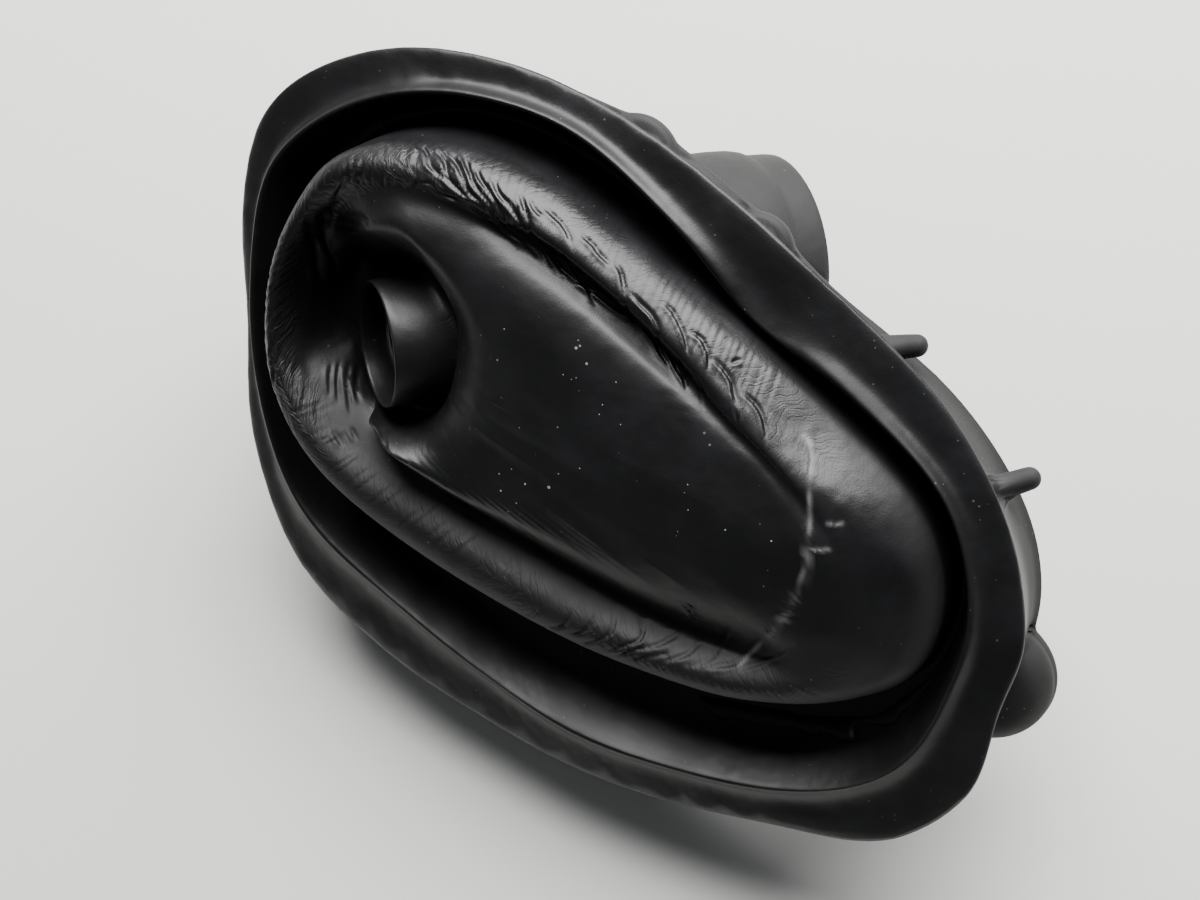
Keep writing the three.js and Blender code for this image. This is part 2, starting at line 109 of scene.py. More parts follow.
GLOSS_FOLDS = (
    ((-14.2, 67.7), (-11.2, 65.2), (-8.6, 62.8), (-6.5, 59.6), (-5.3, 55.4)),
    ((-17.6, 69.8), (-16.1, 67.4), (-14.4, 65.8), (-13.2, 64.9)),
    ((-4.6, 60.7), (-1.2, 57.8), (0.5, 55.8), (3.9, 52.6)),
    ((15.6, 44.0), (18.4, 41.5), (20.9, 37.6), (22.4, 34.3), (23.3, 30.1)),
    ((22.4, 36.7), (25.1, 35.0), (27.2, 31.8), (27.9, 28.5), (27.4, 26.5)),
    ((24.6, 27.1), (25.9, 23.9), (26.3, 21.3), (26.4, 18.5)),
    ((28.4, 30.2), (31.1, 27.3), (33.0, 24.4), (34.2, 20.4), (34.8, 17.0), (35.8, 12.0)),
    ((32.5, 28.3), (34.6, 28.9)),
    ((35.7, 21.9), (38.9, 18.7), (40.9, 15.4), (42.1, 11.5), (42.5, 9.2)),
    ((34.1, 26.7), (33.4, 25.2), (34.5, 21.2), (36.1, 17.1), (35.0, 13.6)),
)
CRACKS = (
    ((-45.0, 75.7), (-41.8, 73.1), (-39.5, 70.9)),
    ((-48.4, 72.2), (-44.1, 72.3), (-41.1, 69.6), (-37.1, 68.2), (-33.4, 70.0)),
    ((-40.2, 69.6), (-37.4, 67.9), (-34.0, 68.3)),
    ((-34.4, 67.8), (-32.6, 65.7), (-30.4, 64.0), (-26.1, 62.5)),
    ((-49.6, 76.7), (-47.5, 73.6), (-49.2, 71.1)),
)
LOW_FOLDS = (
    ((-53.8, -50.4), (-51.3, -51.0)),
    ((-28.9, -44.0), (-25.0, -41.5), (-23.4, -39.0)),
    ((-23.3, -46.6), (-17.5, -44.8), (-14.8, -42.3), (-14.3, -39.3)),
    ((-15.1, -47.3), (-10.2, -45.1), (-8.3, -42.8), (-8.1, -41.1)),
    ((-13.9, -50.6), (-8.2, -48.2), (-3.8, -45.9), (-2.7, -43.4), (-3.6, -40.4)),
    ((-6.0, -51.5), (-0.6, -48.9), (3.5, -47.4), (4.9, -46.1), (4.3, -43.2), (2.5, -41.1)),
    ((-3.2, -52.4), (3.1, -49.5), (8.3, -48.3), (11.9, -47.1), (13.9, -45.9), (15.8, -43.6)),
    ((1.8, -52.3), (8.5, -50.7), (12.7, -49.6), (13.9, -48.5)),
    ((9.4, -52.0), (13.8, -51.0), (16.9, -50.1), (18.9, -48.6), (21.4, -46.0)),
    ((17.4, -52.9), (23.0, -51.1), (24.5, -49.3), (27.5, -43.9), (29.8, -39.7)),
    ((19.2, -53.0), (25.9, -52.3), (29.9, -51.5), (33.3, -48.5), (37.7, -42.5), (40.3, -38.2)),
    ((30.3, -52.9), (36.0, -51.2), (42.0, -47.7), (46.7, -43.3)),
    ((18.2, -35.0), (18.5, -38.4), (18.8, -42.4)),
    ((20.0, -34.9), (20.0, -39.6)),
)
PIT_PLEATS = (
    ((-68.7, 79.4), (-67.8, 76.4), (-69.9, 72.4), (-75.1, 67.6)),
    ((-65.9, 80.0), (-66.6, 75.7), (-69.5, 71.7)),
    ((-63.2, 79.4), (-64.0, 74.9), (-66.9, 70.9)),
    ((-79.5, 65.9), (-81.7, 62.0), (-84.2, 56.8), (-85.0, 51.2), (-86.5, 44.3)),
    ((-77.1, 67.1), (-80.7, 61.7), (-69.8, 59.3)),
    ((-74.8, 67.6), (-78.2, 63.8), (-68.2, 61.8)),
    ((-73.3, 65.4), (-64.9, 63.7), (-63.1, 60.5)),
    ((-82.5, 64.1), (-85.0, 58.8), (-87.8, 51.3), (-89.4, 43.7)),
    ((-88.3, 51.5), (-88.9, 46.8), (-89.5, 43.0)),
)
LEFT_PLEATS = (
    ((-87.8, 22.2), (-87.2, 17.9), (-86.2, 13.4)),
    ((-86.4, 22.5), (-85.5, 17.0), (-84.1, 11.3)),
    ((-84.7, 22.2), (-83.6, 17.3), (-81.6, 11.0), (-80.3, 7.8)),
    ((-83.1, 21.1), (-81.6, 15.6), (-79.3, 10.7)),
    ((-91.8, 17.6), (-91.1, 11.4), (-90.7, 5.6)),
    ((-88.8, 13.9), (-88.4, 9.7), (-86.8, 4.7), (-86.6, 0.0)),
    ((-83.9, 5.3), (-80.6, 0.8)),
    ((-79.8, 5.4), (-77.8, 2.2)),
    ((-69.0, 7.1), (-64.9, 5.0), (-62.1, 2.0)),
    ((-97.5, 32.6), (-98.3, 25.8), (-98.7, 18.7)),
    ((-96.3, 29.5), (-96.7, 22.2), (-96.0, 16.7)),
    ((-95.6, 26.3), (-95.2, 19.9), (-94.0, 14.5)),
    ((-94.4, 23.9), (-93.8, 18.3), (-92.6, 13.6)),
)
COMB_FOLDS = (
    ((-59.4, 82.3), (-58.1, 79.2)),
    ((-64.0, 84.0), (-56.8, 82.2), (-55.6, 79.2)),
    ((-55.4, 83.9), (-52.6, 81.5), (-51.5, 77.8)),
    ((-52.8, 83.9), (-49.3, 80.8), (-48.2, 76.4)),
    ((-49.5, 83.2), (-45.4, 80.1), (-43.9, 76.3)),
    ((-45.9, 82.5), (-41.2, 78.8), (-39.3, 74.3)),
    ((-63.2, 81.7), (-61.9, 80.0)),
)
PALE_FOLD = (
    (48.3, 8.9), (50.3, 5.3), (51.3, -8.6), (50.7, -16.8), (49.9, -23.1), (43.7, -36.9), (30.9, -51.9),
)
PALE_TICKS = (
    ((55.5, -11.0), (58.6, -11.1)),
    ((51.6, -17.1), (55.6, -17.4)),
)
PALE_LINE = (PALE_FOLD,) + PALE_TICKS

# Where dust gathers on the plateau, and the radius of each patch (mm).
DUST_RADIUS = 3.5
DUST_PLACES = ((-9.4, 32.8), (0.0, 23.4), (-39.8, 59.2), (-15.8, -4.0))

# Flash left in the trough: the line where it leaves the wall and its ragged free edge (mm).
FLASH_ROOT = (
    (11.6, -74.1, -9.5), (40.0, -76.2, -9.8), (56.6, -74.9, -9.3), (64.6, -71.1, -9.4), (75.2, -61.9, -9.3),
)
FLASH_EDGE = (
    (13.9, -79.9, -6.8), (25.1, -80.6, -7.8), (38.2, -81.3, -7.5), (50.5, -81.7, -5.4), (56.8, -80.0, -5.3),
    (58.1, -76.9, -8.3), (65.8, -75.1, -5.8), (71.6, -68.6, -7.5), (77.0, -62.5, -8.4),
)

# Traced folds: each set with its depth and half width (mm), and whether it moves with the fold that lies
# over, which shifts it along the section (mm).
TRACED_FOLDS = (
    (BOLD_FOLDS, 0.8, 0.45, True),
    (GLOSS_FOLDS, 0.4, 0.4, True),
    (CRACKS, 0.35, 0.4, False),
    (LOW_FOLDS, 0.45, 0.5, False),
    (PIT_PLEATS, 0.5, 0.6, False),
    (LEFT_PLEATS, 0.4, 0.5, False),
    (COMB_FOLDS, 0.3, 0.4, False),
    (PALE_LINE, 0.22, 0.4, False),
)
LYING_SHIFT = -2.2

# Rows of short folds where the photograph shows too many to follow: first and last station, spacing in
# stations, first and last distance outside the crest (mm), lean in stations, wobble (mm), depth and half
# width (mm). Each step between two folds is the spacing times a random share, and each fold is shifted by
# its wobble outside the crest and a little along it.
FOLD_ROWS = (
    (8.0, 10.2, 0.06, (-1.5, 5.5), 0.55, 1.2, 0.12, 0.35),
    (2.2, 5.7, 0.075, (-3.0, 6.5), 0.2, 1.6, 0.08, 0.4),
    (6.2, 8.0, 0.09, (-7.0, -1.0), -0.05, 2.0, 0.2, 0.45),
    (10.4, 12.4, 0.12, (-6.0, 3.0), -0.1, 2.0, 0.14, 0.45),
    (13.3, 15.8, 0.1, (-1.0, 4.5), 0.2, 1.2, 0.16, 0.4),
)
FOLD_SEED = 7
FOLD_STEPS = 5
SPACING_RANGE = (0.6, 1.4)
STATIONS_PER_WOBBLE = 0.02

# Profile across a fold, in its half widths: a valley with a low swelling beside it. It tapers over a share
# of its length at each end, and folds that meet stay between the deepest and the highest relief (mm).
SWELL_HEIGHT = 0.55
SWELL_PLACE = 1.7
SWELL_WIDTH = 1.1
FOLD_MARGIN = 4
FOLD_TAPER = 0.25
DEEPEST = -1.1
HIGHEST = 0.7

# Long shallow waves of the outer skin: height (mm), turns in radians per mm, and where they come in (mm).
WAVE_HEIGHT = 0.35
WAVE_ALONG = 0.11
WAVE_START = 1.3
WAVE_SLOW = 0.043
WAVE_OUT = 0.05
WAVE_RANGE = (14, 22)

# How the skin is joined and cut finer: the gap that merges (m), the angle up to which triangles become
# quads, the reaches from the crest (mm) of the first cut, the second cut and the cut beside folds, how near
# to a fold that is, in its half widths and in mm, the margin round a fold in which faces are tried (mm), and
# the face that is left whole (m2).
MERGE_GAP = 1e-5
QUAD_ANGLE = math.radians(60)
FIRST_REACH = 45
SECOND_REACH = 10.5
FOLD_REACH = 40
FOLD_NEAR = 1.5
FOLD_NEAR_GAP = 0.3
FOLD_BOX = 2
WHOLE_FACE = 0.55e-6

# The front skin: how low it goes and over how much it fades in (mm), and how far its normals point along z.
# A pair, here and below, is a range over which a weight rises from 0 to 1.
FRONT_LOWEST = -9.0
FRONT_BLEND = 2
CUT_FACING = 0.05
SOFT_FACING = (-0.35, -0.1)
BORDER_FACING = (-0.1, 0.1)
RELIEF_FACING = (0.0, 0.25)

# The plateau's round border: its drop, its ranges outside the crest and in height (mm), and the stretches
# where it is less or missing. The hidden back skin drops by more, to stay clear of the front skin.
BORDER_DROP = 2.4
BORDER_RANGE = (-32, -15)
BORDER_POWER = 1.4
BORDER_END = (-11, -7)
BORDER_HEIGHT = (8, 19)
BORDER_LESS = 0.75
BORDER_LESS_STRETCH = (0.2, 0.9, 1.2)
BORDER_GAP_STRETCH = (7.0, 11.5, 0.6)
BACK_DROP = 5.0
BACK_RANGE = (-9, -5)
BACK_HEIGHT = (-2, 6)

# Softened places: rounds of smoothing for each, the step of a round, and their ranges (mm) from the neck's
# axis, inside the crest, from the place itself and in height.
SOFT_STEP = 0.5
PIT_ROUNDS = 30
CORNER_ROUNDS = 60
GROOVE_ROUNDS = 50
PLATEAU_ROUNDS = 25
NECK_CLEAR = (20.5, 24)
PIT_INSIDE = (5, 9)
PIT_FADE = (32, 42)
PIT_FLOOR = (-24, -18)
CORNER_FADE = (13, 24)
GROOVE_FADE = (12, 22)
PLATEAU_INSIDE = (12, 18)
PLATEAU_HEIGHT = (14, 18)
PLATEAU_OFF_PIT = (24, 34)

# Fine scratches beside the crest: strength, stretch, and the ranges over which they fade inside and outside
# the crest (mm). They lean back from the crest by a way along it per mm, more so in one stretch.
SCRATCHES = (
    (1.0, (7.6, 10.3, 0.5), (2, 4), (6, 9)),
    (0.22, (1.8, 6.0, 0.6), (5, 9), (5, 9)),
    (0.5, (6.4, 7.6, 0.4), (6, 10), (6, 10)),
    (0.5, (12.6, 16.2, 0.6), (3, 6), (3, 6)),
    (0.5, (10.3, 12.6, 0.4), (4, 8), (4, 8)),
)
SCRATCH_LEAN = 0.9
SCRATCH_LEAN_MORE = 1.6
SCRATCH_LEAN_STRETCH = (8.4, 10.4, 0.8)

# Glossy slope, flat of the plateau and rim of the pit, by stretch and ranges (mm).
GLOSS_STRETCH = (0.3, 6.2, 0.7)
GLOSS_MIDDLE = 3
GLOSS_FADE = (6, 12)
FLAT_HEIGHT = (19, 22)
FLAT_EDGE = (-14, -8)
RIM_START = (19, 22)
RIM_END = (26, 31)
RIM_HEIGHT = (10, 16)

# Duller rubber: on the dome between two distances outside the crest, and along the far stretch. The side
# wall is greyer, partly for its dust and partly painted lighter as the window light on it, from a depth and a
# distance outside the crest (mm).
DOME_STATIONS = ((1.7, 2.6), (16.5, 17.3))
DOME_START = (1, 7)
DOME_END = (14, 18)
FAR_DULLNESS = 0.9
FAR_STRETCH = (10.8, 16.5, 1.0)
FAR_FADE = (9, 14)
WALL_RANGE = (12, 16)

# The pale rubbed line over the dome: points per span of its path, half width (mm), and the dashes and groups
# of dashes that it breaks into, in radians over its length.
PALE_STEPS = 6
PALE_HALF = 0.55
DASH_MEAN = 0.55
DASH_SWING = 0.45
DASHES = 47
DASH_GROUPS = 19

# The flash: points along it and per span of its curves, half its thickness (mm) and the way its flat side
# faces, the free edge's share of the thickness, how far the edge reaches and wanders as shares of the width,
# the points over which its ends narrow, its bulge (mm) and the share of its width that stands in the wall.
FLASH_STEPS = 90
FLASH_SPAN_STEPS = 12
FLASH_HALF = 0.25
FLASH_FACING = (0.0, 0.3, 0.95)
FLASH_THIN = 0.5
RAGGED_MEAN = 0.82
RAGGED_SWING = 0.18
RAGGED_WINDOW = 5
RAGGED_SPREAD = 2.2
FLASH_END = 0.15
FLASH_END_STEPS = 5
FLASH_BULGE = 0.7
FLASH_SUNK = 0.12

# The photograph's camera: its axes in the cover's own frame, the way from it to the cover's origin along them
# (mm), its lens and sensor (mm) and how far it sees (m).
CAMERA_AXES = np.array((
    (0.931, -0.060, -0.360),
    (-0.042, 0.962, -0.270),
    (0.363, 0.266, 0.893),
))
LIP_FROM_CAMERA = np.array((9.21, 0.0, -394.74))
LENS = 45
SENSOR = 36
CLIP_END = 20

# The window, seen from the cover in the camera's axes: its direction, distance and size (m) and power (W).
# Then the dim light of the room, and the side of the table (m).
WINDOW_WAY = (0.10, 0.79, 0.60)
WINDOW_DISTANCE = 1.3
WINDOW_SIZE = (1.6, 0.85)
WINDOW_POWER = 76
ROOM_COLOUR = (0.9, 0.95, 1, 1)
ROOM_STRENGTH = 0.09
FLOOR_SIZE = 4

# Points that band_of handles at once, to spare memory.
POINTS_AT_ONCE = 4000


def linear(hex_colour):
    """An sRGB hex colour as linear RGBA."""
    values = []
    for place in (1, 3, 5):
        channel = int(hex_colour[place:place + 2], 16) / 255
        values.append(channel / 12.92 if channel <= 0.04045 else ((channel + 0.055) / 1.055) ** 2.4)
    return (*values, 1.0)


def add_node(tree, kind, settings, inputs):
    """Adds a shader node with its settings; each input is a value, or the socket that feeds it."""
    node = tree.nodes.new(kind)
    for name, value in settings.items():
        setattr(node, name, value)
    for name, value in inputs.items():
        if isinstance(value, bpy.types.NodeSocket):
            tree.links.new(value, node.inputs[name])
        else:
            node.inputs[name].default_value = value
    return node


def own_frame(points):
    """Row frame metres to the cover's own frame in mm."""
    return (points * 1000 - LIP_ORIGIN) @ LIP_AXES.T


def row_place(points):
    """The cover's own frame in mm to row frame metres."""
    return (np.asarray(points, float) @ LIP_AXES + LIP_ORIGIN) / 1000


def row_way(way):
    """A direction of the cover's own frame in the row frame."""
    return Vector(np.asarray(way, float) @ LIP_AXES)


def way_along(path):
    """Distance along a path at each of its points."""
    return np.concatenate([[0], np.cumsum(np.linalg.norm(np.diff(path, axis=0), axis=1))])


def curve_through(points, steps, closed):
    """Points of a smooth curve through the given ones."""
    points = np.asarray(points, float)
    count = len(points)
    out = []
    for index in range(count if closed else count - 1):
        around = [index - 1, index, index + 1, index + 2]
        around = [k % count if closed else min(max(k, 0), count - 1) for k in around]
        p0, p1, p2, p3 = points[around]
        for t in np.arange(steps) / steps:
            out.append(0.5 * (2 * p1 + (p2 - p0) * t + (2 * p0 - 5 * p1 + 4 * p2 - p3) * t ** 2
                              + (3 * p1 - p0 - 3 * p2 + p3) * t ** 3))
    if not closed:
        out.append(points[-1])
    return np.array(out)


crest = curve_through(CREST, CREST_STEPS, True)
crest_next = np.roll(crest, -1, axis=0)
crest_length = np.linalg.norm(crest_next - crest, axis=1)
crest_along = np.concatenate([[0], np.cumsum(crest_length)])


def band_of(points):
    """For places seen along z: way along the crest, distance outside it (mm) and station."""
    found = np.zeros((len(points), 3))
    way = (crest_next - crest) / crest_length[:, None]
    for start in range(0, len(points), POINTS_AT_ONCE):
        end = start + POINTS_AT_ONCE
        part = points[start:end, None, :] - crest[None]
        along = np.clip((part * way).sum(2), 0, crest_length)
        off = part - along[..., None] * way
        distance = np.linalg.norm(off, axis=2)
        best = distance.argmin(1)
        rows = np.arange(len(best))
        side = off[rows, best, 0] * way[best, 1] - off[rows, best, 1] * way[best, 0]
        found[start:end, 0] = crest_along[best] + along[rows, best]
        found[start:end, 1] = np.sign(side) * distance[rows, best]
        found[start:end, 2] = (best + along[rows, best] / crest_length[best]) / CREST_STEPS
    return found


def on_band(station, out):
    """The place at a station of the crest and a distance outside it."""
    index = station * CREST_STEPS
    low = int(math.floor(index)) % len(crest)
    place = crest[low] + (crest_next[low] - crest[low]) * (index - math.floor(index))
    way = (crest_next[low] - crest[low]) / crest_length[low]
    return place + np.array((way[1], -way[0])) * out


def outward(stations):
    """The way that leads straight outside the crest at each station."""
    return np.array([on_band(station, 1.0) - on_band(station, 0.0) for station in stations])


def rise(values, low, high):
    """0 below low, 1 above high, smooth between."""
    share = np.clip((values - low) / (high - low), 0, 1)
    return share * share * (3 - 2 * share)


def stretch(station, low, high, blend):
    """1 between two stations, fading over a blend outside them."""
    return rise(station, low - blend, low) * (1 - rise(station, high, high + blend))


def path_distance(points, path):
    """Signed distance from a path and the share of the way along it, for each point."""
    best = np.full(len(points), np.inf)
    signed = np.zeros(len(points))
    share = np.zeros(len(points))
    length = np.linalg.norm(np.diff(path, axis=0), axis=1)
    done = way_along(path)
    for index in range(len(path) - 1):
        way = (path[index + 1] - path[index]) / max(length[index], 1e-6)
        off = points - path[index]
        along = np.clip(off @ way, 0, length[index])
        rest = off - along[:, None] * way
        distance = np.linalg.norm(rest, axis=1)
        nearer = distance < best
        best[nearer] = distance[nearer]
        side = np.sign(off[:, 0] * way[1] - off[:, 1] * way[0])
        signed[nearer] = (side * distance)[nearer]
        share[nearer] = ((done[index] + along) / done[-1])[nearer]
    return signed, share


def pit_reach_of(places):
    """Distance from the middle of the pit seen along z, in mm of its width."""
    return np.hypot(places[:, 0] - PIT[0], (places[:, 1] - PIT[1]) / PIT_LENGTH)


def row_of_folds(random, first, last, spacing, outs, lean, wobble):
    """Short folds across the band between two stations, as paths of three points seen along z."""
    row = []
    station = first
    while station < last:
        shift = random.uniform(-wobble, wobble)
        row.append([
            on_band(
                station + lean * share + shift * STATIONS_PER_WOBBLE,
                outs[0] + (outs[1] - outs[0]) * share + shift,
            )
            for share in (0.0, 0.5, 1.0)
        ])
        station += spacing * random.uniform(*SPACING_RANGE)
    return row


def all_folds(random):
    """Every fold as a smooth path seen along z, with its depth and half width."""
    folds = []
    for chosen, depth, width, lies_over in TRACED_FOLDS:
        for points in chosen:
            path = curve_through(points, FOLD_STEPS, False)
            if lies_over:
                station = band_of(path)[:, 2]
                path += outward(station) * (LYING_SHIFT * stretch(station, *LYING_STRETCH))[:, None]
            folds.append((path, depth, width))
    for *row, depth, width in FOLD_ROWS:
        for points in row_of_folds(random, *row):
            folds.append((curve_through(points, FOLD_STEPS, False), depth, width))
    return folds


def vertex_data(mesh, name):
    """A per-vertex vector of a mesh."""
    values = np.empty(len(mesh.vertices) * 3)
    mesh.vertices.foreach_get(name, values)
    return values.reshape(-1, 3)


def own_data(mesh):
    """Places and normals of the vertices in the cover's own frame, and where they lie along the crest."""
    own = own_frame(vertex_data(mesh, "co"))
    return own, vertex_data(mesh, "normal") @ LIP_AXES.T, band_of(own[:, :2])


def set_places(mesh, own):
    """Moves the vertices of a mesh to places in the cover's own frame."""
    mesh.vertices.foreach_set("co", row_place(own).reshape(-1))
    mesh.update()


def edit_alone(piece):
    """Opens one piece in edit mode with all of it selected, and nothing else."""
    bpy.ops.object.select_all(action="DESELECT")
    bpy.context.view_layer.objects.active = piece
    piece.select_set(True)
    bpy.ops.object.mode_set(mode="EDIT")
    bpy.ops.mesh.select_all(action="SELECT")


def refine(piece, chosen):
    """Cuts the chosen faces of a mesh finer, along a smooth surface."""
    bpy.ops.object.mode_set(mode="EDIT")
    bpy.ops.mesh.select_mode(type="FACE")
    bpy.ops.mesh.select_all(action="DESELECT")
    bpy.ops.object.mode_set(mode="OBJECT")
    piece.data.polygons.foreach_set("select", chosen)
    bpy.ops.object.mode_set(mode="EDIT")
    bpy.ops.mesh.subdivide(number_cuts=1, smoothness=1.0, ngon=False)
    bpy.ops.object.mode_set(mode="OBJECT")


def front_faces(mesh, reach):
    """Which faces of the front skin lie within a distance of the crest, and the middles of all faces."""
    centre = np.empty(len(mesh.polygons) * 3)
    normal = np.empty(len(mesh.polygons) * 3)
    mesh.polygons.foreach_get("center", centre)
    mesh.polygons.foreach_get("normal", normal)
    centre = own_frame(centre.reshape(-1, 3))
    facing = (normal.reshape(-1, 3) @ LIP_AXES.T)[:, 2] > CUT_FACING
    near_crest = np.abs(band_of(centre[:, :2])[:, 1]) < reach
    return facing & (centre[:, 2] > FRONT_LOWEST) & near_crest, centre


def faces_by_folds(mesh, folds):
    """Which faces of the front skin lie beside a fold and are large enough to cut."""
    front, centre = front_faces(mesh, FOLD_REACH)
    near = np.zeros(len(centre), bool)
    for path, _, width in folds:
        low, high = path.min(0) - FOLD_BOX, path.max(0) + FOLD_BOX
        inside = front & ((centre[:, :2] > low) & (centre[:, :2] < high)).all(1) & ~near
        rows = np.nonzero(inside)[0]
        distance, _ = path_distance(centre[rows, :2], path)
        near[rows[np.abs(distance) < FOLD_NEAR * width + FOLD_NEAR_GAP]] = True
    area = np.empty(len(mesh.polygons))
    mesh.polygons.foreach_get("area", area)
    return near & (area > WHOLE_FACE)


def lay_fold(mesh):
    """Turns the fold's section from its moulded form to the one in which it lies."""
    own, _, band = own_data(mesh)
    moulded, lying = np.array(MOULDED_SECTION), np.array(LYING_SECTION)
    distance, share = path_distance(np.stack((band[:, 1], own[:, 2]), 1), moulded)
    done = way_along(moulded)
    move = np.stack([np.interp(share * done[-1], done, (lying - moulded)[:, k]) for k in range(2)], 1)
    weight = LYING_SHARE * stretch(band[:, 2], *LYING_STRETCH) * (1 - rise(np.abs(distance), *LYING_REACH))
    move *= weight[:, None]
    own[:, :2] += outward(band[:, 2]) * move[:, :1]
    own[:, 2] += move[:, 1]
    set_places(mesh, own)


def round_border(mesh):
    """Gives the plateau a broad round border, and keeps the hidden back skin clear under it."""
    own, normal, band = own_data(mesh)
    out, station = band[:, 1], band[:, 2]
    facing = rise(normal[:, 2], *BORDER_FACING)
    border = rise(out, *BORDER_RANGE) ** BORDER_POWER * (1 - rise(out, *BORDER_END))
    border *= rise(own[:, 2], *BORDER_HEIGHT)
    border *= 1 - BORDER_LESS * stretch(station, *BORDER_LESS_STRETCH)
    border *= 1 - stretch(station, *BORDER_GAP_STRETCH)
    own[:, 2] -= BORDER_DROP * border * facing
    own[:, 2] -= BACK_DROP * (1 - facing) * rise(-out, *BACK_RANGE) * rise(own[:, 2], *BACK_HEIGHT)
    set_places(mesh, own)


def smoothed(mesh, own, passes):
    """Places of the vertices after rounds of smoothing, each pass with its weights and number of rounds."""
    edges = np.empty(len(mesh.edges) * 2, int)
    mesh.edges.foreach_get("vertices", edges)
    first, second = edges.reshape(-1, 2).T
    size = len(own)
    count = np.bincount(first, minlength=size) + np.bincount(second, minlength=size)
    for weight, rounds in passes:
        for _ in range(rounds):
            mean = np.stack([
                np.bincount(first, own[second, k], size) + np.bincount(second, own[first, k], size)
                for k in range(3)
            ], 1) / count[:, None]
            own = own + SOFT_STEP * weight[:, None] * (mean - own)
    return own


def soften(mesh):
    """Rounds off the pit's rim and hollow, the plateau and the groove's end, but not the neck."""
    own, normal, band = own_data(mesh)
    from_neck = own - np.array(NECK_CENTRE)
    axial = from_neck @ np.array(NECK_AXIS)
    radial = np.linalg.norm(from_neck - axial[:, None] * np.array(NECK_AXIS), axis=1)
    reach = pit_reach_of(own)
    from_corner = np.linalg.norm(own - np.array(CORNER), axis=1)
    from_groove_end = np.linalg.norm(own - np.array(GROOVE_END), axis=1)
    front = rise(normal[:, 2], *SOFT_FACING)
    pit = rise(radial, *NECK_CLEAR) * rise(-band[:, 1], *PIT_INSIDE) * (1 - rise(reach, *PIT_FADE)) * front
    pit *= rise(own[:, 2], *PIT_FLOOR)
    corner = pit * (1 - rise(from_corner, *CORNER_FADE))
    groove_end = front * (1 - rise(from_groove_end, *GROOVE_FADE))
    plateau = front * rise(-band[:, 1], *PLATEAU_INSIDE) * rise(own[:, 2], *PLATEAU_HEIGHT)
    plateau *= rise(reach, *PLATEAU_OFF_PIT)
    set_places(mesh, smoothed(mesh, own, (
        (pit, PIT_ROUNDS), (corner, CORNER_ROUNDS), (groove_end, GROOVE_ROUNDS), (plateau, PLATEAU_ROUNDS),
    )))


def press_folds(mesh, folds):
    """Presses the folds into the skin as real shape, and marks its points for the rubber."""
    own, own_normal, band = own_data(mesh)
    front = rise(own_normal[:, 2], *RELIEF_FACING) * rise(own[:, 2], FRONT_LOWEST, FRONT_LOWEST + FRONT_BLEND)
    height = np.zeros(len(own))
    for path, depth, width in folds:
        low, high = path.min(0) - FOLD_MARGIN * width, path.max(0) + FOLD_MARGIN * width
        rows = np.nonzero((front > 0) & ((own[:, :2] > low) & (own[:, :2] < high)).all(1))[0]
        distance, share = path_distance(own[rows, :2], path)
        taper = np.clip(np.minimum(share, 1 - share) / FOLD_TAPER, 0, 1)
        valley = np.exp(-(distance / width) ** 2)
        swell = SWELL_HEIGHT * np.exp(-((distance - SWELL_PLACE * width) / (SWELL_WIDTH * width)) ** 2)
        height[rows] = np.clip(height[rows] + depth * taper * (swell - valley), DEEPEST, HIGHEST)
    along, out = band[:, 0], band[:, 1]
    waves = np.sin(along * WAVE_ALONG + WAVE_START) * np.sin(along * WAVE_SLOW + out * WAVE_OUT)
    height = (height + WAVE_HEIGHT * waves * rise(out, *WAVE_RANGE)) * front
    mark_skin(mesh, own, band, front)
    place = vertex_data(mesh, "co") + vertex_data(mesh, "normal") * (height / 1000)[:, None]
    mesh.vertices.foreach_set("co", place.reshape(-1))
    mesh.update()


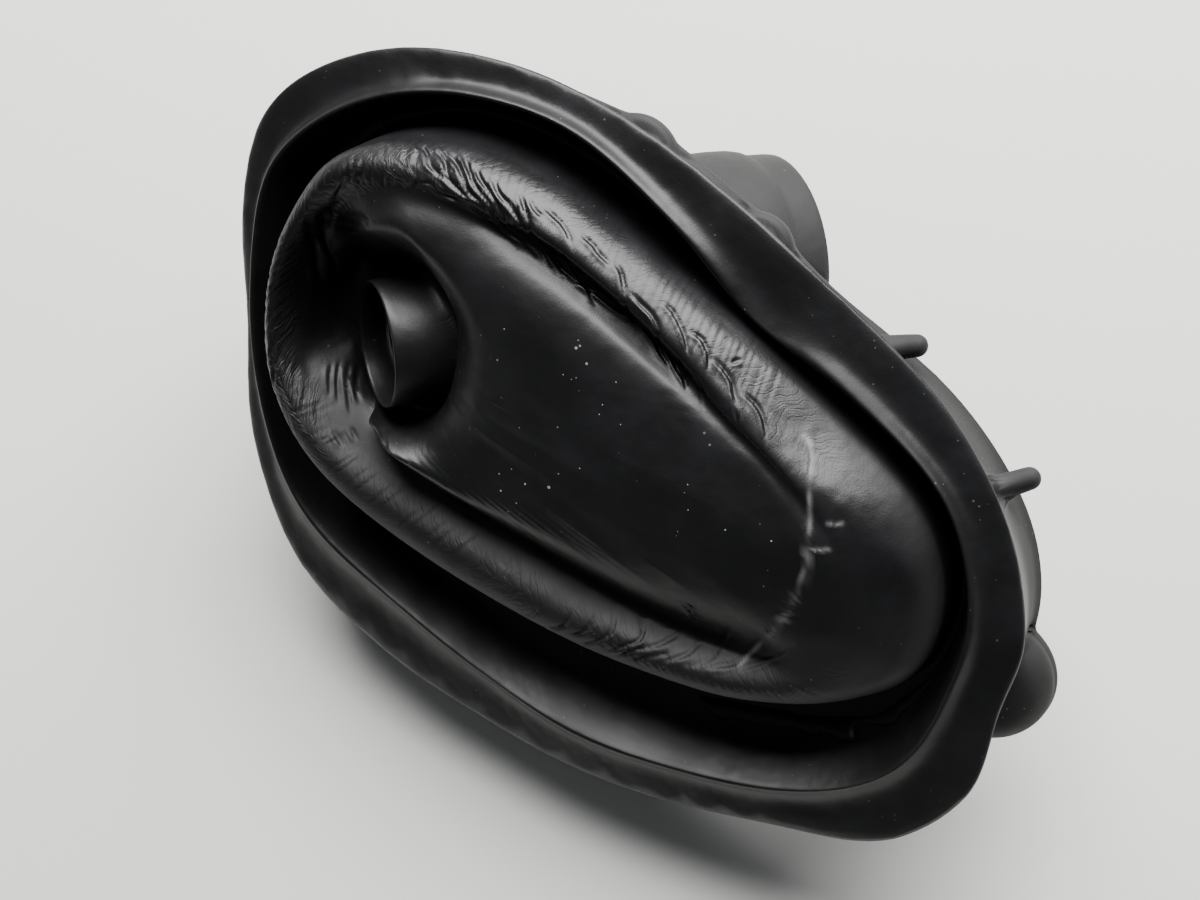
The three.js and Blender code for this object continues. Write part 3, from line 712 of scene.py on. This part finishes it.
def mark_skin(mesh, own, band, front):
    """Writes what the rubber reads at each point of the skin, as vectors of three marks."""
    out, station = band[:, 1], band[:, 2]
    inner = np.abs(out)
    scratches = front * sum(
        share * stretch(station, *stations) * (1 - rise(-out, *inside)) * (1 - rise(out, *outside))
        for share, stations, inside, outside in SCRATCHES
    )
    gloss = front * stretch(station, *GLOSS_STRETCH) * (1 - rise(np.abs(out - GLOSS_MIDDLE), *GLOSS_FADE))
    flat = front * rise(own[:, 2], *FLAT_HEIGHT) * (1 - rise(out, *FLAT_EDGE))
    lean = SCRATCH_LEAN + SCRATCH_LEAN_MORE * stretch(station, *SCRATCH_LEAN_STRETCH)

    pale = np.zeros(len(own))
    for points in PALE_LINE:
        distance, share = path_distance(own[:, :2], curve_through(points, PALE_STEPS, False))
        dashes = DASH_MEAN + DASH_SWING * np.sin(share * DASHES) * np.sin(share * DASH_GROUPS + 1)
        pale = np.maximum(pale, np.exp(-(distance / PALE_HALF) ** 2) * dashes * front)

    turn = np.arctan2(own[:, 1] - PIT[1], own[:, 0] - PIT[0])
    reach = pit_reach_of(own)
    rim = front * rise(reach, *RIM_START) * (1 - rise(reach, *RIM_END)) * rise(own[:, 2], *RIM_HEIGHT)

    on_dome = 1 - rise(station, *DOME_STATIONS[0]) + rise(station, *DOME_STATIONS[1])
    dull = front * np.maximum(
        on_dome * rise(out, *DOME_START) * (1 - rise(out, *DOME_END)),
        FAR_DULLNESS * stretch(station, *FAR_STRETCH) * (1 - rise(inner, *FAR_FADE)),
    )
    # Side wall and sleeve: greyer for their dust, and painted lighter as the window light that falls on them.
    wall = rise(-own[:, 2], *WALL_RANGE) * rise(out, *WALL_RANGE)
    dust = np.zeros(len(own))
    for spot in DUST_PLACES:
        distance = np.linalg.norm(own[:, :2] - np.array(spot), axis=1)
        dust = np.maximum(dust, np.exp(-(distance / DUST_RADIUS) ** 2) * front)

    for name, marks in (
        ("band", (band[:, 0] + lean * inner, out, pale)),
        ("marks", (scratches, gloss, flat)),
        ("pit", (turn, reach, rim)),
        ("wear_and_painted_light", (dull, wall, dust)),
    ):
        attribute = mesh.attributes.new(name, "FLOAT_VECTOR", "POINT")
        attribute.data.foreach_set("vector", np.stack(marks, 1).astype(np.float32).reshape(-1))


def black_rubber():
    """Moulded rubber: deep black, softly glossy where folds stretch it, dull where it is worn, and greyer on
    the side wall, with dust and painted window light.
    """
    material = bpy.data.materials.new("black_rubber")
    material.use_nodes = True
    tree = material.node_tree
    tree.nodes.clear()

    # What mark_skin wrote, as vectors and one by one.
    vectors = {}
    marks = {}
    for name in ("band", "marks", "pit", "wear_and_painted_light"):
        source = add_node(tree, "ShaderNodeAttribute", {"attribute_name": name}, {})
        vectors[name] = source.outputs["Vector"]
        marks[name] = add_node(tree, "ShaderNodeSeparateXYZ", {}, {"Vector": vectors[name]}).outputs
    along, out, pale = marks["band"]
    scratches, gloss, flat = marks["marks"]
    rim = marks["pit"]["Z"]
    dull, wall, dust = marks["wear_and_painted_light"]
    coordinates = add_node(tree, "ShaderNodeTexCoord", {}, {})
    millimetres = add_node(tree, "ShaderNodeVectorMath", {"operation": "SCALE"}, {
        "Vector": coordinates.outputs["Object"], "Scale": 1000.0,
    }).outputs["Vector"]

    # Patterns in the rubber, by cells per mm: the scratches' wander is about 5 mm long, the grain 0.7 mm,
    # coarser than the real one so that it shows, the dents 11 mm, the dust's drift 14 mm and the film 30 mm.
    noise = {}
    for name, per_mm, detail, roughness in (
        ("wander", 0.22, 2.0, 0.5),
        ("grain", 1.4, 3.0, 0.6),
        ("dents", 0.09, 2.0, 0.5),
        ("drift", 0.07, 2.0, 0.5),
        ("film", 0.035, 4.0, 0.6),
    ):
        noise[name] = add_node(tree, "ShaderNodeTexNoise", {}, {
            "Vector": millimetres, "Scale": per_mm, "Detail": detail, "Roughness": roughness,
        }).outputs["Fac"]

    # Scratches across the band: scales about 2.4 by 8 mm with a groove at their edges, and hairlines 0.6 mm
    # apart. Depths are in mm, also below.
    wander = add_node(tree, "ShaderNodeMath", {"operation": "MULTIPLY_ADD"}, {
        0: noise["wander"], 1: 5.0, 2: -2.5,
    })
    slant = add_node(tree, "ShaderNodeMath", {"operation": "ADD"}, {0: along, 1: wander.outputs[0]})
    on_skin = add_node(tree, "ShaderNodeCombineXYZ", {}, {"X": slant.outputs[0], "Y": out}).outputs[0]
    scale_place = add_node(tree, "ShaderNodeVectorMath", {"operation": "MULTIPLY"}, {
        0: on_skin, 1: (0.42, 0.13, 0),
    })
    scale_edges = add_node(tree, "ShaderNodeTexVoronoi", {"feature": "DISTANCE_TO_EDGE"}, {
        "Vector": scale_place.outputs[0], "Scale": 1.0, "Randomness": 1.0,
    })
    scale_relief = add_node(tree, "ShaderNodeMapRange", {"interpolation_type": "SMOOTHSTEP"}, {
        "Value": scale_edges.outputs["Distance"], "From Min": 0.0, "From Max": 0.16, "To Min": -0.09,
        "To Max": 0.0,
    })
    hair_place = add_node(tree, "ShaderNodeVectorMath", {"operation": "MULTIPLY"}, {
        0: on_skin, 1: (1.6, 0.16, 0),
    })
    hair = add_node(tree, "ShaderNodeTexNoise", {}, {
        "Vector": hair_place.outputs[0], "Scale": 1.0, "Detail": 3.0, "Roughness": 0.5,
    })
    hair_relief = add_node(tree, "ShaderNodeMath", {"operation": "MULTIPLY_ADD"}, {
        0: hair.outputs["Fac"], 1: 0.15, 2: -0.075,
    })
    band_relief = add_node(tree, "ShaderNodeMath", {"operation": "ADD"}, {
        0: scale_relief.outputs["Result"], 1: hair_relief.outputs[0],
    })

    # Fine pleats that run down into the pit, 26 to a radian.
    ray_place = add_node(tree, "ShaderNodeVectorMath", {"operation": "MULTIPLY"}, {
        0: vectors["pit"], 1: (26.0, 0.08, 0),
    })
    rays = add_node(tree, "ShaderNodeTexNoise", {}, {
        "Vector": ray_place.outputs[0], "Scale": 1.0, "Detail": 2.0, "Roughness": 0.5,
    })
    ray_relief = add_node(tree, "ShaderNodeMath", {"operation": "MULTIPLY_ADD"}, {
        0: rays.outputs["Fac"], 1: 0.08, 2: -0.04,
    })

    relief = 0.0
    for pattern, strength in (
        (band_relief.outputs[0], scratches), (ray_relief.outputs[0], rim), (noise["grain"], 0.035),
        (noise["dents"], 0.45),
    ):
        relief = add_node(tree, "ShaderNodeMath", {"operation": "MULTIPLY_ADD"}, {
            0: pattern, 1: strength, 2: relief,
        }).outputs[0]
    bump = add_node(tree, "ShaderNodeBump", {}, {"Height": relief, "Strength": 1.0, "Distance": 0.001})

    # Dust: one speck in each cell of 3 mm, 0.06 to 0.35 mm in radius and up to 0.4 mm more where dust
    # gathers, brightest on the flat of the plateau.
    speck_cells = add_node(tree, "ShaderNodeTexVoronoi", {"feature": "F1"}, {
        "Vector": millimetres, "Scale": 0.34, "Randomness": 1.0,
    })
    drift = add_node(tree, "ShaderNodeMapRange", {"interpolation_type": "SMOOTHSTEP"}, {
        "Value": noise["drift"], "From Min": 0.42, "From Max": 0.75, "To Min": 0.02, "To Max": 0.12,
    })
    speck_size = add_node(tree, "ShaderNodeMath", {"operation": "MULTIPLY_ADD"}, {
        0: dust, 1: 0.14, 2: drift.outputs["Result"],
    })
    is_speck = add_node(tree, "ShaderNodeMath", {"operation": "LESS_THAN"}, {
        0: speck_cells.outputs["Distance"], 1: speck_size.outputs[0],
    })
    speck_strength = add_node(tree, "ShaderNodeMath", {"operation": "MULTIPLY_ADD"}, {
        0: flat, 1: 0.8, 2: 0.15,
    })
    specks = add_node(tree, "ShaderNodeMath", {"operation": "MULTIPLY"}, {
        0: is_speck.outputs[0], 1: speck_strength.outputs[0],
    }).outputs[0]

    # Colour in layers: clean rubber, its film of dust, pale rubbed line, greyer side wall (its dust, and
    # painted light where the window falls on it) and specks.
    film = add_node(tree, "ShaderNodeMapRange", {"interpolation_type": "SMOOTHSTEP"}, {
        "Value": noise["film"], "From Min": 0.35, "From Max": 0.75, "To Min": 0.0, "To Max": 1.0,
    }).outputs["Result"]
    rubbed = add_node(tree, "ShaderNodeMath", {"operation": "MULTIPLY"}, {0: pale, 1: 0.75}).outputs[0]
    colour = linear("#0d0d0e")
    for mask, layer in ((film, "#141416"), (rubbed, "#7c7c7a"), (wall, "#1f1f1f"), (specks, "#a5a59f")):
        colour = add_node(tree, "ShaderNodeMix", {"data_type": "RGBA"}, {
            "Factor": mask, "A": colour, "B": linear(layer),
        }).outputs["Result"]

    roughness = 0.40
    for mask, change in ((film, 0.08), (gloss, -0.08), (specks, 0.4), (dull, 0.2), (wall, 0.26)):
        roughness = add_node(tree, "ShaderNodeMath", {"operation": "MULTIPLY_ADD"}, {
            0: mask, 1: change, 2: roughness,
        }).outputs[0]
    shader = add_node(tree, "ShaderNodeBsdfPrincipled", {}, {
        "Base Color": colour, "Roughness": roughness, "Normal": bump.outputs["Normal"],
        "Specular IOR Level": 0.42,
    })
    add_node(tree, "ShaderNodeOutputMaterial", {}, {"Surface": shader.outputs["BSDF"]})
    return material


def along_curve(points, count):
    """Evenly spaced points along a smooth curve."""
    curve = curve_through(points, FLASH_SPAN_STEPS, False)
    done = way_along(curve)
    at_length = np.linspace(0, done[-1], count)
    return np.stack([np.interp(at_length, done, curve[:, k]) for k in range(3)], 1)


def flash_mesh(random):
    """The ragged strip as a closed mesh: six rows of points, as no primitive has so irregular an edge."""
    root = along_curve(FLASH_ROOT, FLASH_STEPS)
    width = along_curve(FLASH_EDGE, FLASH_STEPS) - root
    noise = random.uniform(-1, 1, FLASH_STEPS + RAGGED_WINDOW - 1)
    ragged = RAGGED_MEAN + RAGGED_SWING * np.convolve(noise, np.ones(RAGGED_WINDOW) / RAGGED_SPREAD, "valid")
    from_end = np.minimum(np.arange(FLASH_STEPS), np.arange(FLASH_STEPS)[::-1])
    ragged *= np.minimum(1, FLASH_END + from_end / FLASH_END_STEPS)
    edge = root + width * ragged[:, None]
    middle = (root + edge) / 2 + (0, 0, FLASH_BULGE)
    sunk_root = root - width * FLASH_SUNK
    thick = np.array(FLASH_FACING) * FLASH_HALF
    rows = np.stack([points + side * thick for points, side in (
        (sunk_root, 1), (middle, 1), (edge, FLASH_THIN), (edge, -FLASH_THIN), (middle, -1), (sunk_root, -1),
    )])
    count = len(rows)
    index = np.arange(count * FLASH_STEPS).reshape(count, FLASH_STEPS).tolist()
    faces = [
        (index[k][i], index[k][i + 1], index[(k + 1) % count][i + 1], index[(k + 1) % count][i])
        for k in range(count) for i in range(FLASH_STEPS - 1)
    ]
    faces += [[row[0] for row in index], [row[-1] for row in index[::-1]]]
    mesh = bpy.data.meshes.new("flash_strip")
    mesh.from_pydata([tuple(point) for point in row_place(rows.reshape(-1, 3))], [], faces)
    return mesh


# Skin of the cover, from the CAD node
random = np.random.default_rng(FOLD_SEED)
folds = all_folds(random)
skin = bpy.data.objects.new("cover_skin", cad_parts["column_cover"].data.copy())
bpy.context.scene.collection.objects.link(skin)
skin.data.materials.clear()
edit_alone(skin)
bpy.ops.mesh.remove_doubles(threshold=MERGE_GAP)
bpy.ops.mesh.tris_convert_to_quads(face_threshold=QUAD_ANGLE, shape_threshold=QUAD_ANGLE)
bpy.ops.object.mode_set(mode="OBJECT")
lay_fold(skin.data)
smooth = skin.modifiers.new("smooth", "SUBSURF")
smooth.levels = 1
smooth.render_levels = 1
bpy.ops.object.modifier_apply(modifier="smooth")
round_border(skin.data)
soften(skin.data)
refine(skin, front_faces(skin.data, FIRST_REACH)[0])
refine(skin, front_faces(skin.data, SECOND_REACH)[0])
refine(skin, faces_by_folds(skin.data, folds))
bpy.ops.object.shade_smooth()
press_folds(skin.data, folds)
rubber = black_rubber()
skin.data.materials.append(rubber)
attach(skin, "root")
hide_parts("column_cover")

# Flash in the trough, a thin ragged strip
flash = bpy.data.objects.new("flash_strip", flash_mesh(random))
bpy.context.scene.collection.objects.link(flash)
edit_alone(flash)
bpy.ops.mesh.normals_make_consistent(inside=False)
bpy.ops.object.mode_set(mode="OBJECT")
bpy.ops.object.shade_smooth()
flash.data.materials.append(rubber)
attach(flash, "root")

# Pale table of matt paper
bpy.ops.mesh.primitive_plane_add(size=FLOOR_SIZE)
floor = bpy.context.object
floor.name = "floor"
paper = bpy.data.materials.new("pale_table")
paper.use_nodes = True
paper_shader = paper.node_tree.nodes["Principled BSDF"]
paper_shader.inputs["Base Color"].default_value = linear("#e4e4e0")
paper_shader.inputs["Roughness"].default_value = 0.75
floor.data.materials.append(paper)

# Camera at the photograph's place
camera_data = bpy.data.cameras.new("camera")
camera_data.lens = LENS
camera_data.sensor_width = SENSOR
camera_data.clip_end = CLIP_END
camera = bpy.data.objects.new("camera", camera_data)
bpy.context.scene.collection.objects.link(camera)
right, up, back = (row_way(axis).normalized() for axis in CAMERA_AXES)
camera.matrix_world = Matrix((right, up, back)).transposed().to_4x4()
camera.location = Vector(row_place(-LIP_FROM_CAMERA @ CAMERA_AXES))
bpy.context.scene.camera = camera

# One large soft window above the picture, and a dim room
window_data = bpy.data.lights.new("window", "AREA")
window_data.shape = "RECTANGLE"
window_data.size, window_data.size_y = WINDOW_SIZE
window_data.energy = WINDOW_POWER
window = bpy.data.objects.new("window", window_data)
bpy.context.scene.collection.objects.link(window)
direction = (right * WINDOW_WAY[0] + up * WINDOW_WAY[1] + back * WINDOW_WAY[2]).normalized()
side = (right - direction * right.dot(direction)).normalized()
window.location = direction * WINDOW_DISTANCE
window.rotation_euler = Matrix((side, direction.cross(side), direction)).transposed().to_euler()
world = bpy.data.worlds.new("world")
bpy.context.scene.world = world
world.use_nodes = True
world.node_tree.nodes["Background"].inputs["Color"].default_value = ROOM_COLOUR
world.node_tree.nodes["Background"].inputs["Strength"].default_value = ROOM_STRENGTH
